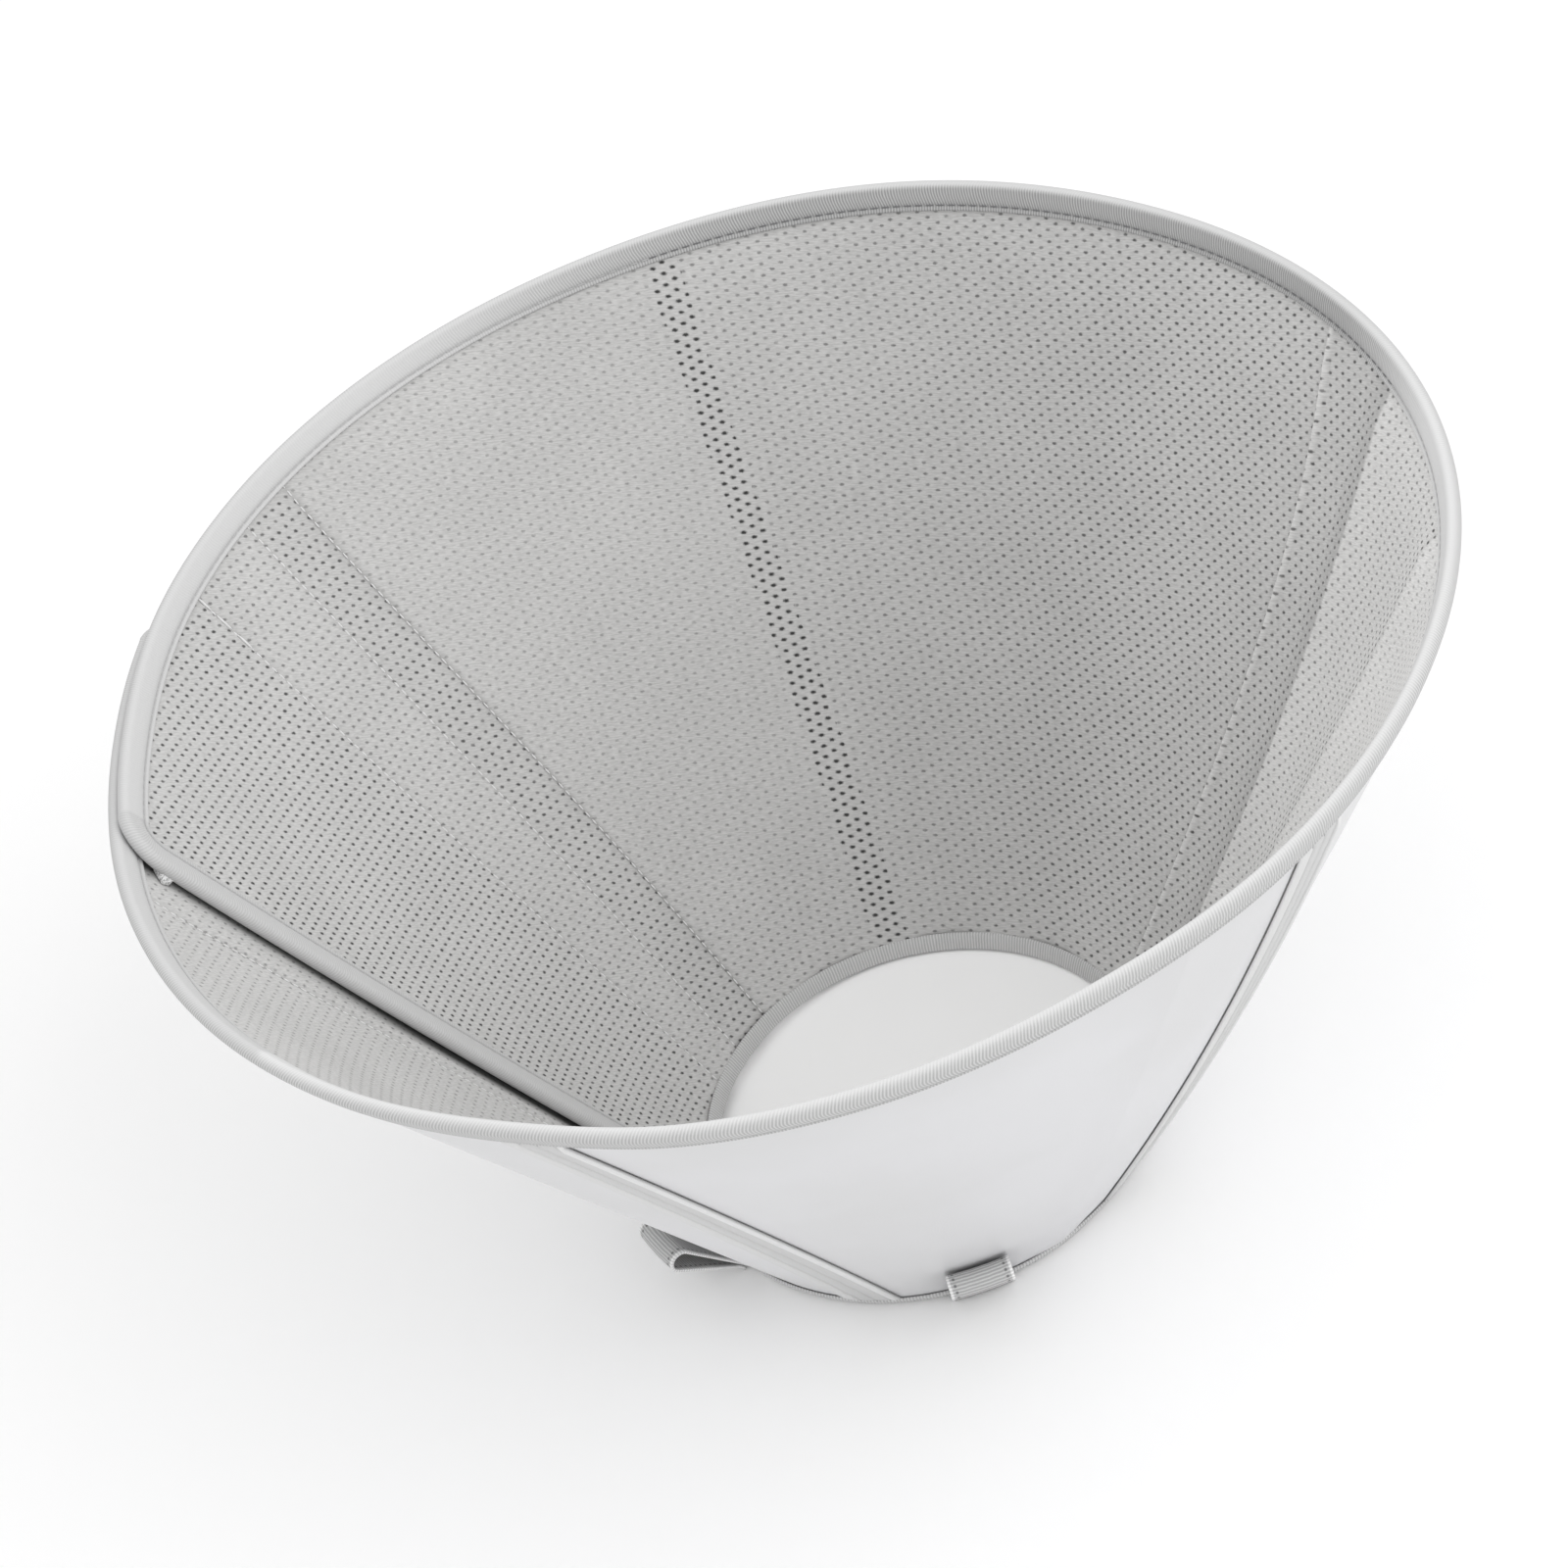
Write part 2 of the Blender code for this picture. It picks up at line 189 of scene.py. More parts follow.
# %% Grid helper
def grid_mesh(name, columns, rows, place, uv, tube=False):
    points = [place(i, j) for i in range(columns) for j in range(rows)]
    faces, corners = [], []
    last = rows if tube else rows - 1
    for i in range(columns - 1):
        for j in range(last):
            k = (j + 1) % rows
            faces.append((i * rows + j, (i + 1) * rows + j, (i + 1) * rows + k, i * rows + k))
            corners += [uv(i, j), uv(i + 1, j), uv(i + 1, j + 1), uv(i, j + 1)]
    if tube:
        faces.append(tuple(range(rows)))
        corners += [uv(0, j) for j in range(rows)]
        faces.append(tuple((columns - 1) * rows + j for j in reversed(range(rows))))
        corners += [uv(columns - 1, j) for j in reversed(range(rows))]
    mesh = bpy.data.meshes.new(name)
    mesh.from_pydata(points, [], faces)
    layer = mesh.uv_layers.new(name="cloth")
    for loop, corner in zip(layer.data, corners):
        loop.uv = corner
    mesh.shade_smooth()
    return mesh


def face_outwards(mesh):
    solid = bmesh.new()
    solid.from_mesh(mesh)
    bmesh.ops.recalc_face_normals(solid, faces=solid.faces)
    solid.to_mesh(mesh)
    solid.free()


def add_piece(name, mesh, material, replaces=(), wall=0.0):
    piece = bpy.data.objects.new(name, mesh)
    bpy.context.scene.collection.objects.link(piece)
    mesh.materials.clear()
    mesh.materials.append(material)
    if wall:
        thick = piece.modifiers.new("cloth wall", "SOLIDIFY")
        thick.thickness = wall
        thick.offset = 0.0
    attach(piece, "root")
    if replaces:
        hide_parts(*replaces)
    triangles = sum(len(face.vertices) - 2 for face in mesh.polygons) * (2 if wall else 1)
    print(name, triangles, "triangles")
    return piece


# %% [markdown]
# ## Materials
#
# A weave this fine could be drawn with an image, but a few math nodes on the UV map stay sharp at
# any distance and need no file. Each material below reads the piece's own UV map in metres or its
# Object coordinates, turns that into a pattern, and sends the pattern to colour and to bump.

# %% Material helpers
class Nodes:
    """A short way to write node trees: every call adds one node and returns its output."""

    def __init__(self, name, colour, roughness, specular=0.5):
        self.material = bpy.data.materials.new(name)
        self.material.use_nodes = True
        self.tree = self.material.node_tree
        self.shader = self.tree.nodes["Principled BSDF"]
        self.shader.inputs["Base Color"].default_value = (*colour, 1.0)
        self.shader.inputs["Roughness"].default_value = roughness
        self.shader.inputs["Specular IOR Level"].default_value = specular

    def feed(self, socket, value):
        if isinstance(value, bpy.types.NodeSocket):
            self.tree.links.new(value, socket)
        else:
            socket.default_value = value

    def add(self, kind, **settings):
        node = self.tree.nodes.new(kind)
        for name, value in settings.items():
            setattr(node, name, value)
        return node

    def math(self, operation, *values):
        node = self.add("ShaderNodeMath", operation=operation)
        for socket, value in zip(node.inputs, values):
            self.feed(socket, value)
        return node.outputs[0]

    def dot(self, vector, weights):
        node = self.add("ShaderNodeVectorMath", operation="DOT_PRODUCT")
        self.feed(node.inputs[0], vector)
        node.inputs[1].default_value = weights
        return node.outputs["Value"]

    def stretched(self, vector, scale):
        node = self.add("ShaderNodeVectorMath", operation="MULTIPLY")
        self.feed(node.inputs[0], vector)
        node.inputs[1].default_value = scale
        return node.outputs["Vector"]

    def step(self, value, low, high, low_result=0.0, high_result=1.0):
        node = self.add("ShaderNodeMapRange", interpolation_type="SMOOTHSTEP")
        for socket, given in zip(node.inputs, (value, low, high, low_result, high_result)):
            self.feed(socket, given)
        return node.outputs["Result"]

    def noise(self, vector, scale, detail=2.0):
        node = self.add("ShaderNodeTexNoise")
        self.feed(node.inputs["Vector"], vector)
        node.inputs["Scale"].default_value = scale
        node.inputs["Detail"].default_value = detail
        return node.outputs["Fac"]

    def mix(self, share, first, second):
        node = self.add("ShaderNodeMix", data_type="RGBA")
        self.feed(node.inputs[0], share)
        self.feed(node.inputs[6], first)
        self.feed(node.inputs[7], second)
        return node.outputs[2]

    def uv(self):
        return self.add("ShaderNodeUVMap", uv_map="cloth").outputs["UV"]

    def place(self):
        return self.add("ShaderNodeTexCoord").outputs["Object"]

    def attribute(self, name):
        return self.add("ShaderNodeAttribute", attribute_name=name).outputs["Fac"]

    def colour(self, value):
        self.feed(self.shader.inputs["Base Color"], value)

    def bump(self, height, strength, distance):
        node = self.add("ShaderNodeBump")
        node.inputs["Strength"].default_value = strength
        node.inputs["Distance"].default_value = distance
        self.feed(node.inputs["Height"], height)
        self.feed(self.shader.inputs["Normal"], node.outputs["Normal"])


def grey(value, blue=0.0):
    return (value, value, value + blue, 1.0)


# %% [markdown]
# ### Outer cover: a smooth coated cloth
#
# The outside is a tight cloth with a thin satin coating: almost no weave shows, only a soft sheen
# and a faint mottling where the padding behind it pushes. Two noises do it, one broad for the
# colour and one fine for the bump.

# %% Cover cloth
n = Nodes("cover cloth", (0.70, 0.71, 0.74), 0.42)
broad = n.noise(n.place(), 9.0, 3.0)
grain = n.noise(n.place(), 1400.0, 1.0)
n.colour(n.mix(n.step(broad, 0.35, 0.65), grey(0.595, 0.008), grey(0.635, 0.016)))
n.bump(n.math("MULTIPLY_ADD", broad, 6.0, grain), 0.25, 0.0002)
n.shader.inputs["Sheen Weight"].default_value = 0.15
cover_cloth = n.material

# %% [markdown]
# ### Mesh lining: knitted cloth with pores
#
# The lining is a knit with a pore every 4 mm. There are some forty thousand of them, far too many
# to model, so they are a lattice in the material. The lattice is straight on the flat cloth, as it
# was knitted, and so runs slantwise round the cone: the UV map holds the flat cloth's coordinates
# for that. PORE_ALONG and PORE_ACROSS are the steps from one pore to its two neighbours.

# %% Lining cloth
PORE_ALONG = (0.00410, 0.00068)
PORE_ACROSS = (-0.00135, -0.00360)
PORE_RADIUS = 0.00068
FIBRE_SLANT = math.radians(36.0)

n = Nodes("lining cloth", (0.56, 0.56, 0.55), 0.85, 0.25)
(ax, ay), (bx, by) = PORE_ALONG, PORE_ACROSS
size = ax * by - ay * bx
flat = n.uv()
cell_a = n.math("SUBTRACT", n.math("FRACT", n.dot(flat, (by / size, -bx / size, 0))), 0.5)
cell_b = n.math("SUBTRACT", n.math("FRACT", n.dot(flat, (-ay / size, ax / size, 0))), 0.5)
right = n.math("MULTIPLY_ADD", cell_a, ax, n.math("MULTIPLY", cell_b, bx))
upward = n.math("MULTIPLY_ADD", cell_a, ay, n.math("MULTIPLY", cell_b, by))
with_fibre = n.math(
    "MULTIPLY_ADD", right, math.cos(FIBRE_SLANT), n.math("MULTIPLY", upward, math.sin(FIBRE_SLANT))
)
over_fibre = n.math(
    "MULTIPLY_ADD", right, -math.sin(FIBRE_SLANT), n.math("MULTIPLY", upward, math.cos(FIBRE_SLANT))
)
ragged = n.math("MULTIPLY", n.math("SUBTRACT", n.noise(flat, 1500.0, 1.0), 0.5), 0.0005)
with_fibre = n.math("MULTIPLY", with_fibre, 0.62)
reach = n.math(
    "SQRT", n.math("ADD", n.math("POWER", with_fibre, 2.0), n.math("POWER", over_fibre, 2.0))
)
reach = n.math("ADD", reach, ragged)
uneven = n.step(n.noise(flat, 260.0, 0.0), 0.2, 0.65, 0.72, 1.12)
depth = n.math("MULTIPLY", n.attribute("pore_depth"), uneven)
wide = n.math("MULTIPLY_ADD", depth, 0.25 * PORE_RADIUS, 0.80 * PORE_RADIUS)
pore = n.step(n.math("DIVIDE", reach, wide), 0.35, 1.15, 1.0, 0.0)
fibre_place = n.add("ShaderNodeVectorRotate", rotation_type="Z_AXIS")
n.feed(fibre_place.inputs["Vector"], flat)
fibre_place.inputs["Angle"].default_value = -FIBRE_SLANT
fibre = n.noise(n.stretched(fibre_place.outputs["Vector"], (330.0, 2100.0, 1.0)), 1.0, 2.0)
cloud = n.noise(flat, 22.0, 3.0)
tone = n.math("MULTIPLY_ADD", n.step(fibre, 0.3, 0.7), 0.13, 0.505)
tone = n.math("MULTIPLY_ADD", n.step(cloud, 0.3, 0.7), 0.03, tone)
# The tone attribute multiplies in painted shade and painted highlights, set per point from the seams, welt,
# crease, fold and lap.
tone = n.math("MULTIPLY", tone, n.attribute("tone"))
# Pores are darkened by painted shade in the holes, deeper where pore_depth is larger.
painted_pore_shade = n.math("MULTIPLY", pore, n.math("MINIMUM", depth, 1.0))
tone = n.math("MULTIPLY", tone, n.math("SUBTRACT", 1.0, n.math("MULTIPLY", painted_pore_shade, 0.92)))
n.colour(n.mix(tone, grey(0.0), (1.0, 0.994, 0.984, 1.0)))
n.bump(n.math("SUBTRACT", n.math("MULTIPLY", fibre, 0.8), pore), 0.4, 0.0003)
n.shader.inputs["Sheen Weight"].default_value = 0.1
lining_cloth = n.material

# %% [markdown]
# ### Binding tape: fine ribs across a folded tape
#
# The tape over the edges is grosgrain: ribs run across it, about one to the millimetre, and lean
# where the tape is pulled round the fold. They are waves along the tape's own length in the UV
# map, bent a little by the distance across it. On the edge tape an attribute says how strong they
# are, because they fade where the tape is stretched smooth over the roll. The collar loops are a
# ribbon of the same kind with white selvedges, and a row of needle holes beside each.

# %% Binding cloth
RIB_PITCH = 0.00105
RIB_BEND = 0.0009
LOOP_WIDTH = 0.022
HOLE_PITCH = 0.0021


def ribbed(name, tone, amount, by_place=False, selvedge=0.0):
    """Ribbed tape. by_place reads ribs and tone attributes, selvedge is a white edge's width."""
    n = Nodes(name, (tone, tone, tone), 0.75, 0.3)
    parts = n.add("ShaderNodeSeparateXYZ")
    n.feed(parts.inputs[0], n.uv())
    place, across = parts.outputs["X"], parts.outputs["Y"]
    if by_place:
        bend = n.math("MULTIPLY", n.math("SINE", n.math("MULTIPLY", across, 420.0)), RIB_BEND)
        place = n.math("ADD", place, bend)
    wobble = n.math("MULTIPLY", n.noise(n.place(), 260.0, 1.0), 0.0004)
    place = n.math("ADD", place, wobble)
    wave = n.math("SINE", n.math("MULTIPLY", place, 2 * math.pi / RIB_PITCH))
    rib = n.step(wave, -0.6, 0.8)
    if by_place:
        hollow = n.math("MULTIPLY", n.math("SUBTRACT", 1.0, rib), n.attribute("ribs"))
        rib = n.math("SUBTRACT", 1.0, hollow)
    fuzz = n.noise(n.place(), 2600.0, 1.0)
    shade = n.math("MULTIPLY_ADD", fuzz, 0.2, n.math("MULTIPLY", rib, 0.8))
    bright = n.math("MULTIPLY_ADD", shade, tone * (amount + 0.05), tone * (1.0 - amount))
    # Where the tone attribute is read, it paints light and shade per point.
    if by_place:
        bright = n.math("MULTIPLY", bright, n.attribute("tone"))
    if selvedge:
        from_edge = n.math("MINIMUM", across, n.math("SUBTRACT", LOOP_WIDTH, across))
        bright = n.math("ADD", bright, n.step(from_edge, selvedge * 0.7, selvedge * 1.3, 0.30, 0.0))
        beat = n.math("MULTIPLY", parts.outputs["X"], 2 * math.pi / HOLE_PITCH)
        dash = n.step(n.math("SINE", beat), -0.2, 0.5)
        from_row = n.math("ABSOLUTE", n.math("SUBTRACT", from_edge, 2.3 * selvedge))
        hole = n.math("MULTIPLY", dash, n.step(from_row, 0.00025, 0.0006, 1.0, 0.0))
        bright = n.math("MULTIPLY", bright, n.math("SUBTRACT", 1.0, n.math("MULTIPLY", hole, 0.55)))
    n.colour(n.mix(bright, grey(0.0), grey(1.0)))
    n.bump(shade, 0.5, 0.0003)
    return n.material


binding_cloth = ribbed("binding cloth", 0.60, 0.42, by_place=True)
neck_cloth = ribbed("neck binding cloth", 0.62, 0.30)
tape_cloth = ribbed("seam tape cloth", 0.57, 0.03, by_place=True)
ribbon_cloth = ribbed("ribbon cloth", 0.56, 0.40, selvedge=0.0010)

# %% [markdown]
# ### Threads and closure
#
# Three thread colours are used: a grey one, a pale one on the rest of the edge tape, and a white
# one on the lining. Where the edge tape's stitches sit in shadow at the back of the mouth, the grey
# thread is the pale thread with painted shade; the grey also sews the seam tapes. The closure is a
# brush of stiff ends, which a fine noise stands for.

# %% Plain finishes
# Grey thread: painted shade on the edge tape's back stitches, and the seam tapes' stitch colour.
n = Nodes("grey and shaded thread", (0.16, 0.16, 0.165), 0.6)
n.bump(n.noise(n.place(), 3000.0, 1.0), 0.3, 0.0002)
grey_and_shaded_thread = n.material

n = Nodes("white thread", (0.80, 0.80, 0.80), 0.6)
n.bump(n.noise(n.place(), 3000.0, 1.0), 0.3, 0.0002)
white_thread = n.material

n = Nodes("pale thread", (0.50, 0.50, 0.50), 0.6)
n.bump(n.noise(n.place(), 3000.0, 1.0), 0.3, 0.0002)
pale_thread = n.material

n = Nodes("closure cloth", (0.78, 0.78, 0.78), 0.9)
hooks = n.noise(n.place(), 1500.0, 2.0)
n.colour(n.mix(n.step(hooks, 0.38, 0.52), grey(0.45), grey(0.90)))
n.bump(hooks, 0.8, 0.0005)
closure_cloth = n.material

# %% [markdown]
# ## The lining and the cover
#
# Both are the same sheet, one inside the other. The grid's columns follow the lines that are sewn
# or folded into the real sheet, so that a crease falls on a column and stays sharp. Each line is
# given by its turn at the mouth, half way and at the neck, and columns gather near it.

# %% Columns that follow lines
ENDS = [(0.0, -3.0, -6.0), (WRAP, WRAP + 3.0, WRAP + 6.0)]

LINING_LINES = {
    "inner seam": (33.8, 33.8, 33.8),
    "strip seam low": (43.7, 44.6, 46.0),
    "strip seam high": (49.6, 52.6, 59.0),
    "hinge left": (92.3, 93.0, 94.0),
    "hinge right": (95.6, 97.4, 103.0),
    "welt": (167.3, 173.6, 168.0),
    "crease": (178.6, 184.0, 184.6),
    "fold": (199.0, 200.0, 201.0),
    "outer seam": (356.0, 353.0, 350.0),
}
COVER_LINES = {
    "crease": (249.2, 250.6, 252.6),
    "front fold": (302.2, 298.0, 292.6),
    "side fold": (237.0, 235.6, 234.0),
}


def line_turn(line, share):
    """Turn of a line at a share of the slant: a smooth curve through its three turns."""
    mouth, middle, neck = line
    return (
        neck * (2 * share - 1) * (share - 1)
        + middle * 4 * share * (1 - share)
        + mouth * share * (2 * share - 1)
    )


def columns_between(lines, step):
    """Column lines from end to end, close together beside each given line."""
    lines = sorted(ENDS + list(lines))
    columns = [lines[0]]
    for left, right in zip(lines, lines[1:]):
        count = max(6, round((right[0] - left[0]) / step))
        for i in range(1, count + 1):
            share = (1.0 - math.cos(math.pi * i / count)) / 2.0
            columns.append(tuple(a + (b - a) * share for a, b in zip(left, right)))
    return columns


def corner_drop(turn):
    """How far the rounded corners take the sheet's upper edge down."""
    reach = math.radians(max(0.0, min(turn, WRAP - turn))) * MOUTH_RADIUS
    if reach >= CORNER_RADIUS:
        return 0.0
    return CORNER_RADIUS - math.sqrt(CORNER_RADIUS**2 - (CORNER_RADIUS - reach) ** 2)


def flat_cloth(turn, along):
    """The same point on the cut cloth, laid flat, in metres."""
    radius = along + NECK_RADIUS / math.sin(SLOPE)
    angle = math.radians(turn - WRAP / 2) * math.sin(SLOPE)
    return radius * math.sin(angle), radius * math.cos(angle)


def distance_from(line, turn, along, share):
    """Metres from a line, across it, positive towards the outer end."""
    return math.radians(turn - line_turn(line, share)) * radius_at(turn, along)


# %% Build a sheet
SHEET_ROWS = 54


def make_sheet(name, material, node, lines, middle, wall, relief):
    columns = columns_between(lines, 1.7)
    bottom = TAPE_STACK / math.cos(SLOPE)
    grid = []
    for column in columns:
        top = sheet_top(column[0]) - corner_drop(column[0])
        for row in range(SHEET_ROWS):
            along = bottom + (top - bottom) * row / (SHEET_ROWS - 1)
            turn = line_turn(column, along / wall_frame(column[0])[3])
            grid.append((turn, along))

    def place(i, j):
        turn, along = grid[i * SHEET_ROWS + j]
        return wall_point(turn, along, middle + relief(turn, along))

    def uv(i, j):
        return flat_cloth(*grid[i * SHEET_ROWS + j])

    mesh = grid_mesh(name, len(columns), SHEET_ROWS, place, uv)
    piece = add_piece(name, mesh, material, [node], wall)
    return piece, grid


# %% [markdown]
# ### Relief of the lining
#
# Seams press a groove into the padding, the welt is a raised line, and the creases are where a
# stiff panel ends. The relief is measured inwards from the plain wall. Between the seams the
# padding swells slightly, which a slow noise adds.

# %% The lining
SEAMS = ("inner seam", "strip seam low", "strip seam high", "outer seam")


def ridge(distance, height, width):
    return height * math.exp(-((distance / width) ** 2))


def away_from_lines(turn, along):
    share = along / wall_frame(turn)[3]
    return {name: distance_from(line, turn, along, share) for name, line in LINING_LINES.items()}


def lining_relief(turn, along):
    share = along / wall_frame(turn)[3]
    away = away_from_lines(turn, along)
    inward = 0.0008 * smooth_step(0.5 + 0.5 * math.sin(turn * 0.21) * math.cos(share * 7.0))
    inward += ridge(away["welt"], 0.0016, 0.0013)
    for seam in SEAMS:
        inward -= ridge(away[seam], 0.0007, 0.0011)
    if away["strip seam low"] > 0.0 > away["strip seam high"]:
        inward -= 0.0003
    inward += 0.0020 * max(0.0, 1.0 - abs(away["crease"]) / 0.012)
    inward += 0.0030 * max(0.0, 1.0 - abs(away["fold"]) / 0.016)
    below_tape = sheet_top(turn) - 0.0075 - along
    return -inward * smooth_step(below_tape / 0.014)


lining, lining_grid = make_sheet(
    "lining_sheet", lining_cloth, "mesh_lining",
    LINING_LINES.values(), 0.0005 - PLY_STACK, 0.001, lining_relief,
)

# %% [markdown]
# ### How deep the pores look
#
# The pores are drawn dark, which is painted shade in the holes: faint where the padding is close
# behind them, clear in the strip between the two seams and near the ends, and almost black along
# the hinge, where nothing lies behind. One attribute on the points carries that to the material,
# and another the cloth's tone, which is painted light and shade: painted shade in each seam's groove
# and beside the welt, a painted highlight on the welt, painted shade before the crease, painted
# light on the panels past the crease and the fold, and a painted shadow along the edge of the lap.

# %% Pore depth and tone
# Painted shade on the panels, darkest at the back of the cone round turn 112: turn, tone
PANEL_PAINTED_SHADE = [
    (0, 0.97), (40, 0.96), (60, 0.94), (92, 0.91), (112, 0.87),
    (135, 0.88), (160, 0.98), (200, 1.0), (400, 1.0),
]


def fade_from(distance, width):
    """1 on a line, 0 from width metres away."""
    return 1.0 - smooth_step(abs(distance) / width)


# How deep the painted shade in the pores is at a point; the same value also widens the pores.
def pore_depth(turn, along):
    away = away_from_lines(turn, along)
    share = along / wall_frame(turn)[3]
    if away["hinge left"] > 0.0 > away["hinge right"]:
        return 1.7
    if away["strip seam low"] > 0.0 > away["strip seam high"]:
        return 0.80
    if away["inner seam"] < 0.0:
        from_end = math.radians(turn - skewed(0.0, along)) * radius_at(turn, along)
        return 0.84 + 0.35 * fade_from(from_end, 0.035)
    if away["strip seam high"] < 0.0:
        return 0.58
    if away["hinge left"] < 0.0:
        return 0.36 + 0.18 * smooth_step((0.4 - share) / 0.4)
    if away["crease"] < 0.0:
        return 0.55 + 0.25 * smooth_step((turn - 105.0) / 50.0)
    if away["fold"] < 0.0:
        return 0.62 + 0.70 * fade_from(away["fold"], 0.012)
    return 0.45


def lining_tone_and_painted_light(turn, along):
    away = away_from_lines(turn, along)
    # Painted shade by turn round the panels.
    left, right = next((a, b) for a, b in zip(PANEL_PAINTED_SHADE, PANEL_PAINTED_SHADE[1:]) if turn <= b[0])
    tone = left[1] + (right[1] - left[1]) * smooth_step((turn - left[0]) / (right[0] - left[0]))
    # Painted shade in each seam's groove.
    for seam in SEAMS:
        tone -= 0.16 * fade_from(away[seam] - 0.0004, 0.0011)
    # Painted shade in the strip between the two seams, deepest along its upper seam.
    if away["strip seam low"] > 0.0 > away["strip seam high"]:
        tone -= 0.03 + 0.06 * fade_from(away["strip seam high"], 0.005)
    # A painted highlight on the welt, with painted shade along both its sides.
    tone += 0.24 * fade_from(away["welt"], 0.0014)
    tone -= 0.09 * fade_from(away["welt"] + 0.0022, 0.0016)
    tone -= 0.05 * fade_from(away["welt"] - 0.0026, 0.0020)
    # Painted shade before the crease, and painted light on the panel past it.
    if 0.0 > away["crease"]:
        tone -= 0.15 * fade_from(away["crease"], 0.016)
    elif turn < 300.0:
        tone += 0.22
    # More painted light past the fold, and a painted shade line along it.
    if away["fold"] > 0.0 and turn < 300.0:
        tone += 0.10
    tone -= 0.14 * fade_from(away["fold"] + 0.001, 0.003)
    # A painted shadow on the outer end's lining, under and along the inner end's edge.
    end_of_lap = math.radians(turn - 360.0 - skewed(0.0, along)) * radius_at(turn, along)
    if turn > 300.0:
        tone *= 1.0 - 0.85 * smooth_step((end_of_lap + 0.0022) / 0.0012)
    return tone


def set_attribute(mesh, name, values):
    layer = mesh.attributes.new(name, "FLOAT", "POINT")
    layer.data.foreach_set("value", values)


set_attribute(lining.data, "pore_depth", [pore_depth(*spot) for spot in lining_grid])
set_attribute(lining.data, "tone", [lining_tone_and_painted_light(*spot) for spot in lining_grid])
print("pores:", round(0.278 / abs(size)), "on the lining")

# %% [markdown]
# ### Relief of the cover
#
# The cover is taut. It has one soft crease right of the front; the grid's columns also gather along
# the folds under the front and side tapes, which are not raised.

# %% The cover
def cover_relief(turn, along):
    share = along / wall_frame(turn)[3]
    crease = distance_from(COVER_LINES["crease"], turn, along, share)
    return 0.0009 * max(0.0, 1.0 - abs(crease) / 0.012)


cover, _ = make_sheet(
    "cover_sheet", cover_cloth, "outer_cover",
    COVER_LINES.values(), -0.0005, 0.001, cover_relief,
)

# %% [markdown]
# ## The edge tape
#
# One tape is folded over the free edges: up the inner end, round its corner, along the mouth, and
# down the outer end. It could be a bevelled curve, but a curve knows nothing of the wall's slope
# and would twist at the corners. So the tape is a grid too: a section, carried along a route of
# stations on the sheet's own edge. Its section is a roll over the edge, with a groove where the
# stitches pull it in and a thin lower edge.

# %% Section of a folded tape
RIM_TAPE_WIDTH = 0.0085
RIM_ROLL = 0.0017
OUTER, INNER = TAPE_STACK, -PLY_STACK - TAPE_STACK
STITCH_INSET = 0.0066
ROLL_STEPS = 14

# inward from the sheet's edge, lift off the tape's plain face
TAPE_FACE = [
    (0.0012, 0.00000), (0.0026, 0.00010), (0.0040, 0.00012), (0.0052, 0.00000),
    (0.0059, -0.00018), (0.0064, -0.00036), (0.0068, -0.00036), (0.0073, -0.00018),
    (0.0079, -0.00008), (0.0083, -0.00020), (0.0085, -0.00050),
]


def tape_section():
    """Points round the folded tape: (inward, out, distance across the tape from its top)."""
    middle, half = (OUTER + INNER) / 2, (OUTER - INNER) / 2
    roll = []
    for i in range(ROLL_STEPS + 1):
        swing = math.pi * i / ROLL_STEPS
        roll.append((0.0008 - (RIM_ROLL + 0.0008) * math.sin(swing) ** 0.8, middle + half * math.cos(swing)))
    outside = [(inward, OUTER + lift) for inward, lift in reversed(TAPE_FACE)]
    inside = [(inward, INNER - lift) for inward, lift in TAPE_FACE]
    back = [
        (RIM_TAPE_WIDTH, INNER + 0.001), (-0.0003, INNER + 0.001),
        (-0.0003, OUTER - 0.001), (RIM_TAPE_WIDTH, OUTER - 0.001),
    ]
    line = outside + roll + inside
    across = [0.0]
    for (x0, y0), (x1, y1) in zip(line, line[1:]):
        across.append(across[-1] + math.hypot(x1 - x0, y1 - y0))
    top = across[len(outside) + ROLL_STEPS // 2]
    section = [(x, y, d - top) for (x, y), d in zip(line, across)]
    return section + [(x, y, section[-1][2]) for x, y in back]


print("the edge tape is", round(2000 * max(p[2] for p in tape_section())), "mm wide, laid flat")


# %% Route of the edge tape
CORNER_STEPS = 14
LEG_STEP = 0.003
NECK_TAPE_WIDTH = 0.005


def leg_stations(side):
    """Stations up one end: (side, reach from the end, drop below the top, across, down)."""
    foot = sheet_top(side) - NECK_TAPE_WIDTH - 0.0003
    steps = round((foot - CORNER_RADIUS) / LEG_STEP)
    stations = []
    for i in range(steps):
        stations.append((side, 0.0, foot + (CORNER_RADIUS - foot) * i / steps, 1.0, 0.0))
    for i in range(CORNER_STEPS):
        swing = math.pi / 2 * i / CORNER_STEPS
        across, down = math.cos(swing), math.sin(swing)
        stations.append((side, CORNER_RADIUS * (1 - across), CORNER_RADIUS * (1 - down), across, down))
    return stations


def edge_route():
    turn = math.degrees(CORNER_RADIUS / MOUTH_RADIUS)
    count = round((WRAP - 2 * turn) / 0.8)
    mouth = [(turn + (WRAP - 2 * turn) * i / count,) for i in range(count + 1)]
    return leg_stations(0.0) + mouth + leg_stations(WRAP)[::-1]


def edge_point(station, inward, out):
    """Point inward metres into the sheet from its edge at a station."""
    if len(station) == 1:
        turn = station[0]
        along = sheet_top(turn) - inward
    else:
        side, reach, drop, across, down = station
        along = sheet_top(side) - drop - down * inward
        away = math.degrees((reach + across * inward) / radius_at(side, along))
        turn = side + away if side == 0.0 else side - away
    return wall_point(skewed(turn, along), along, out)


